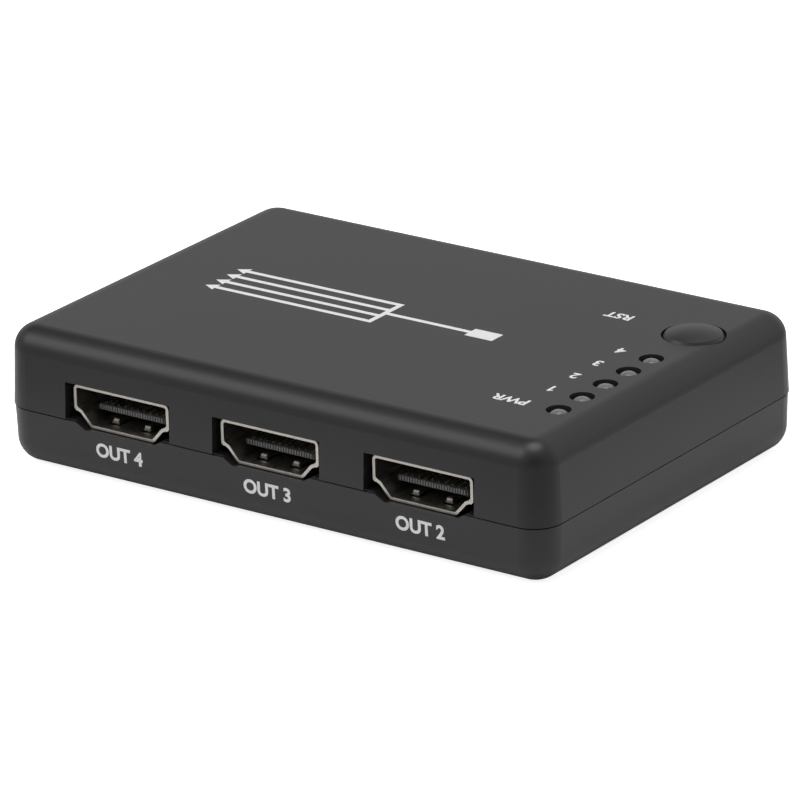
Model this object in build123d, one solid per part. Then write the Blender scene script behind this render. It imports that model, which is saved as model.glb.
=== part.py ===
"""HDMI splitter with one input and four outputs, in a two-part moulded case. Millimetres.

X runs along the face with three sockets, Y from that face to the back, Z up.
The origin is on the table under the middle of the case.
"""
from build123d import *
from math import cos, radians, sin, sqrt, tan
import os

# Case, outside
case_length = 83.5
case_width = 58.7
case_height = 18.5
corner_radius = 4.0
top_edge_radius = 3.2
base_edge_radius = 3.4
parting_step = 0.12
parting_groove_height = 0.2
parting_groove_depth = 0.4
lid_draft_degrees = 2.5
tray_draft_degrees = 2.0

# Case, inside
wall = 2.0
roof = 2.0
floor = 2.0
lip_height = 1.2
lip_thickness = 0.8
lip_clearance = 0.1
boss_radius = 3.0
boss_side_gap = 0.9
boss_inset = 7.15
boss_wall_gap = 0.6
boss_rib = 1.2
boss_rib_drop = 4.5
post_radius = 3.4

# Screws
screw_radius = 1.3
screw_length = 10.0
screw_head_radius = 2.3
screw_head_height = 1.7
screw_head_sink = 0.3
screw_recess_width = 0.7
screw_recess_length = 2.6
screw_recess_depth = 1.0
counterbore_clearance = 0.3
screw_hole_clearance = 0.3
pilot_clearance = 0.03
pilot_spare_depth = 1.0

# Circuit board
board_thickness = 1.6
board_clearance = 0.45
board_corner_cut = 1.2

# HDMI sockets
port_height = 9.78
port_recess = 1.0
parting_drop = 1.88
socket_width = 15.0
socket_height = 5.52
socket_base_width = 9.93
socket_side_height = 3.58
socket_step = 0.85
socket_depth = 11.6
socket_sheet = 0.4
socket_corner = 0.75
socket_shoulder_cut = 0.3
socket_standoff = 0.35
socket_fit = 0.03
leg_width = 1.2
leg_tail = 0.6
leg_slot_gap = 0.2
leg_inset = 4.2
leg_overlap = 0.5

# Springs cut from the socket's sheet
spring_window_width = 1.9
spring_window_length = 4.6
spring_width = 1.1
spring_thickness = 0.25
spring_dip = 0.45
spring_start = 1.5
spring_spacing = 5.0
spring_tip_gap = 0.5

# Socket insulator and contacts
tongue_width = 10.5
tongue_thickness = 0.9
tongue_recess = 2.2
tongue_drop = 0.6
tongue_bevel = 0.2
insulator_block = 2.8
insulator_foot_width = 8.4
foot_window_gap = 0.2
contact_pitch = 1.0
contact_width = 0.28
contact_thickness = 0.2
contact_proud = 0.06
contact_tip_inset = 0.6
contact_tail_gap = 0.1
upper_contacts = 10
lower_contacts = 9

# Notches for the sockets
notch_side_gap = 0.75
notch_top_gap = 0.3
notch_base_gap = 0.12
notch_step_gap = 0.3
notch_foot_gap = 0.35

# Power inlet
jack_inset = 0.8
jack_width = 7.6
jack_body_height = 6.4
jack_body_depth = 9.2
jack_body_edge = 0.5
jack_nose_radius = 2.9
jack_nose_recess = 0.2
jack_nose_gap = 0.2
jack_wall_gap = 0.3
jack_bore_radius = 1.95
jack_bore_depth = 8.6
jack_pin_radius = 0.6
jack_pin_recess = 1.0
jack_pin_root = 0.8
jack_spring_width = 1.6
jack_spring_thickness = 0.3
jack_spring_bow = 0.25
jack_spring_seat = 0.9
jack_spring_length = 5.0
jack_spring_gap = 0.15
jack_tail_width = 1.6
jack_tail_thickness = 0.4
jack_tail_slot_gap = 0.2

# Lights
led_count = 5
led_crown_steps = 2
led_inset = 6.3
led_first_share = 0.2811
led_pitch_share = 0.0884
led_radius = 1.45
led_height = 5.3
led_crown = 0.4
led_sink = 0.12
led_hole_radius = 1.6
led_lead_size = 0.5
led_lead_spacing = 2.54
led_lead_tail = 1.0
led_lead_hole_gap = 0.15

# Reset button
button_inset = 6.5
button_share = 0.2436
button_radius = 3.95
button_gap = 0.2
button_crown = 0.75
button_proud = 0.1
button_edge = 0.35
button_skirt = 0.9
button_deck = 1.1
button_stem_radius = 1.6
button_rest_gap = 0.05
wing_length = 0.8
wing_width = 4.0
wing_thickness = 0.8
press_travel = 0.25

# Switch under the button
switch_size = 6.0
switch_body_height = 3.2
switch_floor = 1.2
switch_cavity_radius = 2.3
switch_cover_thickness = 0.3
switch_height = 5.0
plunger_radius = 1.75
plunger_gap = 0.08
plunger_flange_radius = 2.05
plunger_rest_gap = 0.05
dome_radius = 1.8
dome_pressed_height = 0.3
dome_thickness = 0.1
dome_width = 2.6
dome_shoulder_share = 0.45
terminal_width = 0.7
terminal_thickness = 0.3
terminal_spacing = 4.5
terminal_tail = 1.0
terminal_hole_gap = 0.2

# Parts on the board
chip_draft_degrees = 8
splitter_chip_size = 9.0
splitter_chip_height = 0.9
splitter_chip_corner = 0.5
splitter_chip_mark = 0.4
splitter_chip_mark_depth = 0.15
control_chip_length = 9.9
control_chip_width = 3.9
control_chip_height = 1.5
control_chip_share = 0.18
control_chip_y = -3.2
chip_standoff = 0.15
chip_pin_pitch = 1.27
chip_pin_width = 0.42
chip_pin_thickness = 0.2
chip_pin_reach = 1.0
chip_pins_per_side = 8
chip_waist_share = 0.5
regulator_length = 6.5
regulator_width = 3.5
regulator_height = 1.6
regulator_inset = 10.75
regulator_count = 2
regulator_pin_pitch = 2.3
regulator_pin_width = 0.7
regulator_pins = 3
crystal_length = 5.0
crystal_width = 3.2
crystal_base_height = 0.7
crystal_lid_inset = 0.35
crystal_lid_height = 0.3
crystal_share = 0.16
can_radius = 2.5
can_height = 5.2
can_base_size = 5.3
can_base_height = 0.9
can_base_corner = 0.8
can_pitch = 6.4
can_inset = 10.75
can_jack_gap = 1.8
can_count = 2
inductor_size = 5.0
inductor_height = 3.0
inductor_corner = 1.2
inductor_inset = 18.25
inductor_y = 3.0
capacitor_length = 1.6
capacitor_width = 0.8
capacitor_height = 0.8
capacitor_pitch = 2.4
capacitors_per_side = 5
capacitor_chip_gap = 1.4
resistor_length = 1.6
resistor_width = 0.8
resistor_height = 0.45
resistor_pitch = 2.2
resistors_per_port = 4
resistor_room_share = 0.25
array_length = 2.9
array_width = 1.6
array_height = 1.0
array_spacing = 4.4
arrays_per_port = 2
array_room_share = 0.65

# Shared
cut_overrun = 1.0
fillet_limit_share = 0.94
quarter_turn = 90
half_turn = 180

# Levels and places that follow from the sizes above
parting_height = port_height - parting_drop
port_low = port_height - socket_height / 2
board_top = port_low - socket_standoff
board_bottom = board_top - board_thickness
roof_underside = case_height - roof
dome_height = dome_pressed_height + press_travel
mouth_y = case_width / 2 - port_recess
screw_seat = screw_head_height + screw_head_sink
screw_x = case_length / 2 - boss_inset
port_pitch = screw_x - boss_radius - boss_side_gap - socket_width / 2
screw_y = case_width / 2 - wall - boss_wall_gap - boss_radius
led_x = case_length / 2 - led_inset
led_first_y = -led_first_share * case_width
led_pitch = led_pitch_share * case_width
led_base = case_height - led_sink - led_height
button_x = case_length / 2 - button_inset
button_y = button_share * case_width
jack_x = jack_inset - port_pitch
jack_height = board_top + jack_body_height / 2
jack_mouth_y = case_width / 2 - jack_nose_recess
jack_nose_length = wall + parting_step + jack_wall_gap - jack_nose_recess
block_front = socket_depth - insulator_block
socket_end = socket_depth + contact_tail_gap + contact_thickness
chip_edge = splitter_chip_size / 2 + capacitor_chip_gap + capacitor_length / 2
room_behind_socket = mouth_y - socket_end - chip_edge
can_y = jack_mouth_y - jack_nose_length - jack_body_depth - can_jack_gap - can_base_size / 2

front_ports = {"output_4": -port_pitch, "output_3": 0, "output_2": port_pitch}
rear_ports = {"input": 0, "output_1": port_pitch}


def case_corners():
    """The four places of the case screws, their posts and their bosses."""
    return [(side * screw_x, end * screw_y) for side in (-1, 1) for end in (-1, 1)]


def port_places():
    """Each socket's name and place, with its mouth facing away from the case."""
    places = {}
    for name, x in front_ports.items():
        places[name] = Pos(x, -mouth_y, port_height)
    for name, x in rear_ports.items():
        places[name] = Pos(x, mouth_y, port_height) * Rot(0, 0, half_turn)
    return places


def led_places():
    """The row of lights, from the front to the back."""
    return [(led_x, led_first_y + index * led_pitch) for index in range(led_count)]


def along_depth(sketch, start, end):
    """A profile drawn upright, seen from the front, that runs back from start to end."""
    form = extrude(sketch, end - start, dir=(0, 0, 1))
    return Pos(0, end, 0) * Rot(quarter_turn, 0, 0) * form


def across(points, width):
    """A side profile of depth and height points, that runs across by width."""
    return extrude(Plane.YZ * Polygon(*points, align=None), width / 2, both=True)


def case_outline(inset):
    """The case seen from above, at the parting line."""
    return RectangleRounded(case_length - 2 * inset, case_width - 2 * inset, corner_radius - inset)


def drafted_form(inset, height, draft, edge_radius):
    """Half of the case as a drafted block that narrows upwards, with its far edge rounded."""
    form = extrude(case_outline(inset), height, taper=draft)
    radius_at_edge = corner_radius - inset - height * tan(radians(draft))
    rounding = min(edge_radius, radius_at_edge * fillet_limit_share)
    return fillet(form.faces().sort_by(Axis.Z)[-1].edges(), rounding)


def lid_form():
    """The lid as a full block."""
    height = case_height - parting_height
    return Pos(0, 0, parting_height) * drafted_form(0, height, lid_draft_degrees, top_edge_radius)


def tray_form():
    """The tray as a full block, narrowing downwards from the parting line."""
    form = drafted_form(parting_step, parting_height, tray_draft_degrees, base_edge_radius)
    return Pos(0, 0, parting_height) * Rot(half_turn, 0, 0) * form


def hollow(low, high):
    """The room inside the case between two levels."""
    return Pos(0, 0, low) * extrude(case_outline(wall), high - low)


def lip_band(outer_inset, inner_inset, height):
    """An upright band that follows the case's outline, from the parting line up."""
    band = case_outline(outer_inset) - case_outline(inner_inset)
    return Pos(0, 0, parting_height) * extrude(band, height)


def notch_outline():
    """The gap round a socket: square above the parting line, narrowing below it."""
    half_width = socket_width / 2 + notch_side_gap
    top = socket_height / 2 + notch_top_gap
    parting = parting_height - port_height
    step_width = socket_width / 2 - socket_step + notch_step_gap
    base_width = socket_base_width / 2 + notch_foot_gap
    base = -socket_height / 2 - notch_base_gap
    right = [(half_width, top), (half_width, parting), (step_width, parting), (base_width, base)]
    left = [(-x, z) for x, z in reversed(right)]
    return Polygon(*right, *left, align=None)


def wall_cuts():
    """What is cut through both halves of the case: five socket notches and the inlet's hole."""
    depth = wall + cut_overrun
    notch = along_depth(notch_outline(), -port_recess - cut_overrun, depth)
    cuts = [place * notch for place in port_places().values()]
    hole = Circle(jack_nose_radius + jack_nose_gap)
    inlet = along_depth(hole, -jack_nose_recess - cut_overrun, depth)
    cuts.append(Pos(jack_x, jack_mouth_y, jack_height) * Rot(0, 0, half_turn) * inlet)
    return cuts


def upright(radius, low, high):
    """An upright cylinder from one level to another."""
    return Pos(0, 0, low) * extrude(Circle(radius), high - low)


def boss_rib_form(x, y):
    """A thin rib that ties a boss to the side wall next to it."""
    end = case_length / 2 - wall / 2
    side = 1 if x > 0 else -1
    rib = Box(end - abs(x), boss_rib, boss_rib_drop, align=(Align.MIN, Align.CENTER, Align.MAX))
    turn = Rot(0, 0, 0 if side > 0 else half_turn)
    return Pos(x, y, roof_underside) * turn * rib


def top_shell():
    """The lid: drafted walls, a rebate for the tray's lip, screw bosses and the holes on top."""
    outside = lid_form()
    shell = outside - hollow(parting_height, roof_underside)
    skin = wall - lip_thickness - lip_clearance
    shell -= lip_band(skin, wall, lip_height + lip_clearance)
    pilot_top = screw_seat + screw_length + pilot_spare_depth
    for x, y in case_corners():
        shell += Pos(x, y, 0) * upright(boss_radius, board_top, roof_underside)
        shell += boss_rib_form(x, y) & outside
        shell -= Pos(x, y, 0) * upright(screw_radius + pilot_clearance, board_top - cut_overrun, pilot_top)
    for x, y in led_places():
        shell -= Pos(x, y, 0) * upright(led_hole_radius, roof_underside - cut_overrun, case_height + cut_overrun)
    button_hole = upright(button_radius + button_gap, roof_underside - cut_overrun, case_height + cut_overrun)
    shell -= Pos(button_x, button_y, 0) * button_hole
    return shell - wall_cuts()


def bottom_shell():
    """The tray: drafted walls, a groove at the parting, a raised lip and posts for the board."""
    shell = tray_form() - hollow(floor, parting_height)
    groove = lip_band(-parting_step, parting_groove_depth, 2 * parting_groove_height)
    shell -= Pos(0, 0, -parting_groove_height) * groove
    shell += lip_band(wall - lip_thickness, wall, lip_height)
    for x, y in case_corners():
        shell += Pos(x, y, 0) * upright(post_radius, floor / 2, board_bottom)
        head_room = screw_head_radius + counterbore_clearance
        shell -= Pos(x, y, 0) * upright(head_room, -cut_overrun, screw_seat)
        shell -= Pos(x, y, 0) * upright(screw_radius + screw_hole_clearance, floor / 2, board_top)
    return shell - wall_cuts()


def case_screws():
    """Four pan-head screws that enter from beneath and end in the lid's bosses."""
    head = upright(screw_head_radius, screw_seat - screw_head_height, screw_seat)
    shank = upright(screw_radius, screw_seat, screw_seat + screw_length)
    low = Pos(0, 0, screw_seat - screw_head_height)
    slot = Box(screw_recess_length, screw_recess_width, 2 * screw_recess_depth)
    screw = head + shank - low * slot - low * Rot(0, 0, quarter_turn) * slot
    return [Pos(x, y, 0) * screw for x, y in case_corners()]


def leg_places():
    """Middle of each leg of a socket's shell, in the socket's own frame."""
    x = (socket_width - socket_sheet) / 2
    return [(side * x, y) for side in (-1, 1) for y in (leg_inset, socket_depth - leg_width)]


def circuit_board():
    """The board, with slots and holes for everything that passes through it."""
    inset = wall + board_clearance
    outline = Rectangle(case_length - 2 * inset, case_width - 2 * inset)
    outline = chamfer(outline.vertices(), board_corner_cut)
    board = Pos(0, 0, board_bottom) * extrude(outline, board_thickness)
    holes = []
    deep = 2 * board_thickness + 2 * cut_overrun
    leg_slot = Box(socket_sheet + 2 * leg_slot_gap, leg_width + 2 * leg_slot_gap, deep)
    for place in port_places().values():
        for x, y in leg_places():
            holes.append(place * Pos(x, y, board_top - port_height) * leg_slot)
    for x, y in case_corners():
        holes.append(Pos(x, y, board_top) * Cylinder(screw_radius + screw_hole_clearance, deep))
    lead_width = led_lead_size + 2 * led_lead_hole_gap
    lead_hole = Box(lead_width, lead_width, deep)
    for x, y in led_places():
        for side in (-1, 1):
            holes.append(Pos(x + side * led_lead_spacing / 2, y, board_top) * lead_hole)
    terminal_hole = Box(terminal_width + 2 * terminal_hole_gap, terminal_thickness + 2 * terminal_hole_gap, deep)
    for x, y in terminal_places():
        holes.append(Pos(x, y, board_top) * terminal_hole)
    for (x, y), (across_x, along_y) in jack_tails():
        slot = Box(across_x + 2 * jack_tail_slot_gap, along_y + 2 * jack_tail_slot_gap, deep)
        holes.append(jack_place(Pos(x, y, board_top - jack_height) * slot))
    return board - holes


def socket_outline(inset):
    """The socket's outline: straight sides, a step inwards and slanted lower corners.

    The sheet's corners are bent round, and those of what goes inside it are cut off.
    """
    slope = (socket_width / 2 - socket_step - socket_base_width / 2) / (socket_height - socket_side_height)
    narrowing = inset * (sqrt(1 + slope * slope) - slope)
    top = socket_height / 2 - inset
    side = socket_width / 2 - inset
    shoulder = socket_height / 2 - socket_side_height + inset
    waist = socket_width / 2 - socket_step - narrowing
    base = socket_base_width / 2 - narrowing
    right = [(side, top), (side, shoulder), (waist, shoulder), (base, -top)]
    left = [(-x, z) for x, z in reversed(right)]
    outline = Polygon(*right, *left, align=None)
    outline = chamfer(outline.vertices().group_by(Axis.Y)[1], socket_shoulder_cut)
    levels = outline.vertices().group_by(Axis.Y)
    corners = levels[0] + levels[-1]
    if inset > socket_sheet:
        return chamfer(corners, socket_corner - socket_sheet)
    return fillet(corners, socket_corner - inset)


def spring_strip():
    """One bent spring finger, rooted behind its window and dipping into the mouth."""
    root = spring_start + spring_window_length + spring_tip_gap
    bend = spring_start + spring_window_length / 3
    tip = spring_start + spring_tip_gap
    inner = -spring_thickness
    dip = -socket_sheet - spring_dip
    points = [
        (root, 0),
        (root, inner),
        (bend, dip),
        (tip, dip + spring_dip / 2),
        (tip, dip + spring_dip / 2 + spring_thickness),
        (bend, dip + spring_thickness),
        (root - spring_tip_gap, 0),
    ]
    return across(points, spring_width)


def socket_shell():
    """The folded metal shell, with two springs above, two below and four legs."""
    shell = along_depth(socket_outline(0), 0, socket_depth)
    shell -= along_depth(socket_outline(socket_sheet), -cut_overrun, socket_depth + cut_overrun)
    window = Box(spring_window_width, spring_window_length, 2 * socket_sheet + cut_overrun)
    window_y = spring_start + spring_window_length / 2
    spring = spring_strip()
    for x in (-spring_spacing / 2, spring_spacing / 2):
        for z, flip in ((socket_height / 2, 0), (-socket_height / 2, half_turn)):
            shell -= Pos(x, window_y, z) * window
            shell += Pos(x, 0, z) * Rot(0, flip, 0) * spring
    foot_window = Box(
        insulator_foot_width + 2 * foot_window_gap,
        2 * (insulator_block + foot_window_gap),
        socket_height / 2,
    )
    shell -= Pos(0, socket_depth, -socket_height / 2) * foot_window
    shoulder = socket_height / 2 - socket_side_height
    leg_top = shoulder + leg_overlap
    leg_low = board_bottom - leg_tail - port_height
    leg = Box(socket_sheet, leg_width, leg_top - leg_low, align=(Align.CENTER, Align.CENTER, Align.MAX))
    for x, y in leg_places():
        shell += Pos(x, y, leg_top) * leg
    return shell


def contact_strip(level):
    """One contact: along the tongue, out behind the block and down to the board."""
    start = tongue_recess + contact_tip_inset
    back = socket_depth + contact_tail_gap
    low = board_top - port_height
    points = [
        (start, level + contact_thickness / 2),
        (back + contact_thickness, level + contact_thickness / 2),
        (back + contact_thickness, low),
        (back, low),
        (back, level - contact_thickness / 2),
        (start, level - contact_thickness / 2),
    ]
    return across(points, contact_width)


def socket_contacts():
    """Ten contacts above the tongue and nine below, half a pitch apart."""
    reach = tongue_thickness / 2 - contact_thickness / 2 + contact_proud
    rows = ((upper_contacts, reach - tongue_drop), (lower_contacts, -reach - tongue_drop))
    contacts = []
    for count, level in rows:
        strip = contact_strip(level)
        first = -(count - 1) / 2
        contacts += [Pos((first + index) * contact_pitch, 0, 0) * strip for index in range(count)]
    return contacts


def socket_insulator():
    """The moulded block at the back of the socket, with its tongue and its foot on the board."""
    block = along_depth(socket_outline(socket_sheet + socket_fit), block_front, socket_depth)
    foot_top = -socket_height / 2 + 2 * socket_sheet
    foot_low = board_top - port_height
    foot = Box(
        insulator_foot_width,
        insulator_block,
        foot_top - foot_low,
        align=(Align.CENTER, Align.MAX, Align.MAX),
    )
    tongue = Rectangle(tongue_width, tongue_thickness)
    tongue = along_depth(tongue, tongue_recess, block_front + insulator_block / 2)
    tongue = chamfer(tongue.edges().group_by(Axis.Y)[0].filter_by(Axis.X), tongue_bevel)
    return block + Pos(0, socket_depth, foot_top) * foot + Pos(0, 0, -tongue_drop) * tongue


def jack_place(part):
    """Puts a piece of the inlet, built with its mouth at the origin, in the back wall."""
    return Pos(jack_x, jack_mouth_y, jack_height) * Rot(0, 0, half_turn) * part


def jack_tails():
    """Middle and size of the inlet's two tails, in its own frame: the pin's and the spring's."""
    back = jack_nose_length + jack_body_depth
    spring_x = jack_width / 2 - jack_spring_seat + jack_spring_thickness / 2
    spring_y = jack_nose_length + (jack_body_depth + jack_spring_length - jack_tail_width) / 2
    return [
        ((0, back + jack_tail_thickness / 2), (jack_tail_width, jack_tail_thickness)),
        ((spring_x, spring_y), (jack_spring_thickness, jack_tail_width)),
    ]


def jack_tail(index, top):
    """One of the inlet's tails, from a level down through the board."""
    (x, y), (across_x, along_y) = jack_tails()[index]
    low = board_bottom - leg_tail - jack_height
    tail = Box(across_x, along_y, top - low, align=(Align.CENTER, Align.CENTER, Align.MAX))
    return Pos(x, y, top) * tail


def dc_jack_housing():
    """The inlet's moulded body: a round nose in the wall and a square body on the board."""
    back = jack_nose_length + jack_body_depth
    nose = along_depth(Circle(jack_nose_radius), 0, jack_nose_length + jack_body_edge)
    block = along_depth(Rectangle(jack_width, jack_body_height), jack_nose_length, back)
    block = chamfer(block.edges().filter_by(Axis.Y).group_by(Axis.Z)[-1], jack_body_edge)
    body = nose + block - along_depth(Circle(jack_bore_radius), -cut_overrun, jack_bore_depth)
    body -= along_depth(Circle(jack_pin_root), jack_bore_depth - cut_overrun, back + cut_overrun)
    inner = jack_bore_radius - jack_spring_bow - jack_spring_gap
    spring_room = Box(
        jack_width / 2 + cut_overrun - inner,
        jack_spring_length + 2 * jack_spring_gap,
        jack_body_height / 2 + cut_overrun + jack_spring_width / 2 + jack_spring_gap,
        align=(Align.MIN, Align.CENTER, Align.MAX),
    )
    room_top = jack_spring_width / 2 + jack_spring_gap
    body -= Pos(inner, jack_nose_length + jack_body_depth / 2, room_top) * spring_room
    return jack_place(body)


def dc_jack_pin():
    """The inlet's centre pin, with its tail down through the board behind the body."""
    pin = along_depth(Circle(jack_pin_radius), jack_pin_recess, jack_bore_depth)
    root = along_depth(Circle(jack_pin_root), jack_bore_depth, jack_nose_length + jack_body_depth)
    return jack_place(pin + root + jack_tail(0, jack_pin_root))


def dc_jack_spring():
    """The bowed side contact that presses on a plug's sleeve, with its tail."""
    outer = jack_width / 2 - jack_spring_seat
    inner = jack_bore_radius - jack_spring_bow
    half = jack_spring_length / 2
    flat = half - jack_tail_width
    points = [
        (outer, -half),
        (outer + jack_spring_thickness, -half),
        (inner + jack_spring_thickness, 0),
        (outer + jack_spring_thickness, flat),
        (outer + jack_spring_thickness, half),
        (outer, half),
        (outer, flat),
        (inner, 0),
    ]
    strip = extrude(Polygon(*points, align=None), jack_spring_width / 2, both=True)
    strip = Pos(0, jack_nose_length + jack_body_depth / 2, 0) * strip
    return jack_place(strip + jack_tail(1, jack_spring_width / 2))


def led_lens():
    """A round light with a domed top."""
    shoulder = led_height - led_crown
    side = [(0, 0), (led_radius, 0)]
    crown = []
    for step in range(led_crown_steps + 1):
        angle = radians(quarter_turn * step / led_crown_steps)
        crown.append((led_radius * cos(angle), shoulder + led_crown * sin(angle)))
    profile = Polygon(*side, *crown, align=None)
    return Pos(0, 0, led_base) * revolve(Plane.XZ * profile, Axis.Z)


def led_leads():
    """Two leads under each light, through the board."""
    low = board_bottom - led_lead_tail
    lead = Box(led_lead_size, led_lead_size, led_base - low, align=(Align.CENTER, Align.CENTER, Align.MIN))
    offsets = (-led_lead_spacing / 2, led_lead_spacing / 2)
    return [Pos(x + offset, y, low) * lead for x, y in led_places() for offset in offsets]


def domed(radius, rise, low, high, edge):
    """An upright cylinder from low, whose top rises from a rounded edge as a shallow dome to high."""
    ball = (radius * radius + rise * rise) / (2 * rise)
    side = Pos(0, low) * Rectangle(radius, high - low, align=(Align.MIN, Align.MIN))
    profile = side & Pos(0, high - ball) * Circle(ball)
    rim = profile.vertices().group_by(Axis.X)[-1].sort_by(Axis.Y)[-1]
    return revolve(Plane.XZ * chamfer(rim, edge), Axis.Z)


def reset_button():
    """The cap: a shallow dome over a skirt, two wings that hold it in, and a stem."""
    edge = case_height + button_proud
    low = roof_underside - button_rest_gap - wing_thickness
    cap = domed(button_radius, button_crown, low, edge + button_crown, button_edge)
    wing = Box(wing_width, 2 * (button_radius + wing_length), wing_thickness)
    cap += Pos(0, 0, low + wing_thickness / 2) * wing
    cap -= upright(button_radius - button_skirt, low - cut_overrun, edge - button_deck)
    cap += upright(button_stem_radius, board_top + switch_height, edge - button_deck / 2)
    return Pos(button_x, button_y, 0) * cap


def on_board(x, y, part):
    """Sets a piece, built from level zero up, on the board."""
    return Pos(x, y, board_top) * part


def switch_body():
    """The switch's square base, with the round room for its dome and plunger."""
    body = extrude(Rectangle(switch_size, switch_size), switch_body_height)
    body -= upright(switch_cavity_radius, switch_floor, switch_body_height + cut_overrun)
    return on_board(button_x, button_y, body)


def switch_cover():
    """The thin plate that keeps the plunger in."""
    plate = Rectangle(switch_size, switch_size) - Circle(plunger_radius + plunger_gap)
    return on_board(button_x, button_y, Pos(0, 0, switch_body_height) * extrude(plate, switch_cover_thickness))


def switch_plunger():
    """The plunger: a flange over the dome, under the cover, and a shaft up to the stem."""
    low = switch_floor + dome_height + plunger_rest_gap
    flange = upright(plunger_flange_radius, low, switch_body_height - plunger_rest_gap)
    return on_board(button_x, button_y, flange + upright(plunger_radius, low, switch_height))


def switch_dome():
    """The snap dome on the floor of the switch: a thin disc with two sides cut off, bowed up."""
    shoulder = dome_radius * dome_shoulder_share
    over = [
        (-dome_radius, dome_thickness),
        (-shoulder, dome_height),
        (shoulder, dome_height),
        (dome_radius, dome_thickness),
    ]
    under = [(y, z - dome_thickness) for y, z in reversed(over)]
    dome = across(over + under, dome_width)
    return on_board(button_x, button_y, Pos(0, 0, switch_floor) * dome)


def terminal_places():
    """Where the switch's four terminals pass through the board."""
    half_x = terminal_spacing / 2
    half_y = (switch_size + terminal_thickness) / 2
    return [(button_x + a * half_x, button_y + b * half_y) for a in (-1, 1) for b in (-1, 1)]


def switch_terminals():
    """Four flat terminals against the sides of the switch."""
    low = board_bottom - terminal_tail
    high = board_top + switch_floor
    blade = Box(terminal_width, terminal_thickness, high - low, align=(Align.CENTER, Align.CENTER, Align.MIN))
    return [Pos(x, y, low) * blade for x, y in terminal_places()]


def splitter_chip():
    """The main chip, with cut corners and a round mark by its first pin."""
    body = Box(
        splitter_chip_size,
        splitter_chip_size,
        splitter_chip_height,
        align=(Align.CENTER, Align.CENTER, Align.MIN),
    )
    body = chamfer(body.edges().filter_by(Axis.Z), splitter_chip_corner)
    mark_at = splitter_chip_size / 2 - splitter_chip_corner - 2 * splitter_chip_mark
    mark = upright(splitter_chip_mark, splitter_chip_height - splitter_chip_mark_depth, board_top)
    return on_board(0, 0, body - Pos(-mark_at, -mark_at, 0) * mark)


def moulded_body(length, width, height):
    """A chip's body: two drafted halves that meet at its waist."""
    waist = height * chip_waist_share
    upper = extrude(Rectangle(length, width), height - waist, taper=chip_draft_degrees)
    lower = Rot(half_turn, 0, 0) * extrude(Rectangle(length, width), waist, taper=chip_draft_degrees)
    return Pos(0, 0, chip_standoff + waist) * (upper + lower)


def gull_pins(width, height, pin_width, pitch, count):
    """A row of bent pins along the front of a chip, from its waist down to the board."""
    half = chip_pin_thickness / 2
    level = chip_standoff + height * chip_waist_share
    knee = width / 2 + chip_pin_reach / 2
    end = width / 2 + chip_pin_reach + chip_pin_thickness
    points = [
        (-width / 2, level + half),
        (-knee - half, level + half),
        (-knee - half, chip_pin_thickness),
        (-end, chip_pin_thickness),
        (-end, 0),
        (-knee + half, 0),
        (-knee + half, level - half),
        (-width / 2, level - half),
    ]
    pin = across(points, pin_width)
    first = -(count - 1) * pitch / 2
    return [Pos(first + index * pitch, 0, 0) * pin for index in range(count)]


def control_chip():
    """The small controller's body."""
    body = moulded_body(control_chip_length, control_chip_width, control_chip_height)
    return on_board(-control_chip_share * case_length, control_chip_y, body)


def control_chip_pins():
    """The controller's two rows of bent pins."""
    row = gull_pins(control_chip_width, control_chip_height, chip_pin_width, chip_pin_pitch, chip_pins_per_side)
    pins = row + [Rot(0, 0, half_turn) * pin for pin in row]
    return [on_board(-control_chip_share * case_length, control_chip_y, pin) for pin in pins]


def regulator_places():
    """Places of the voltage regulators, in a column between a socket and the capacitor cans."""
    low = socket_end - mouth_y
    step = (can_y - can_base_size / 2 - low) / regulator_count
    x = regulator_inset - case_length / 2
    return [(x, low + (index + 1 / 2) * step) for index in range(regulator_count)]


def regulators():
    """The regulators' bodies."""
    body = moulded_body(regulator_length, regulator_width, regulator_height)
    return [on_board(x, y, body) for x, y in regulator_places()]


def regulator_pin_set():
    """Three pins in front of each regulator and one wide tab behind it."""
    pins = gull_pins(regulator_width, regulator_height, regulator_pin_width, regulator_pin_pitch, regulator_pins)
    tab_width = regulator_pin_pitch + regulator_pin_width
    tab = gull_pins(regulator_width, regulator_height, tab_width, regulator_pin_pitch, 1)
    pins += [Rot(0, 0, half_turn) * tab[0]]
    return [on_board(x, y, pin) for x, y in regulator_places() for pin in pins]


def crystal():
    """The clock crystal: a flat base with a thin metal lid on it."""
    base = block_from_board(crystal_length, crystal_width, crystal_base_height)
    lid = block_from_board(
        crystal_length - 2 * crystal_lid_inset,
        crystal_width - 2 * crystal_lid_inset,
        crystal_base_height + crystal_lid_height,
    )
    return on_board(crystal_share * case_length, 0, base + lid)


def electrolytic_capacitors():
    """Round cans on square bases with two cut corners."""
    base = extrude(Rectangle(can_base_size, can_base_size), can_base_height)
    base = chamfer(base.edges().filter_by(Axis.Z).group_by(Axis.Y)[0], can_base_corner)
    unit = base + upright(can_radius, 0, can_height)
    first = can_inset - case_length / 2
    return [on_board(first + index * can_pitch, can_y, unit) for index in range(can_count)]


def power_inductor():
    """The supply's shielded coil."""
    body = extrude(Rectangle(inductor_size, inductor_size), inductor_height)
    body = chamfer(body.edges().filter_by(Axis.Z), inductor_corner)
    return on_board(inductor_inset - case_length / 2, inductor_y, body)


def block_from_board(length, width, height):
    """A plain rectangular component, from level zero up."""
    return Box(length, width, height, align=(Align.CENTER, Align.CENTER, Align.MIN))


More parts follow.
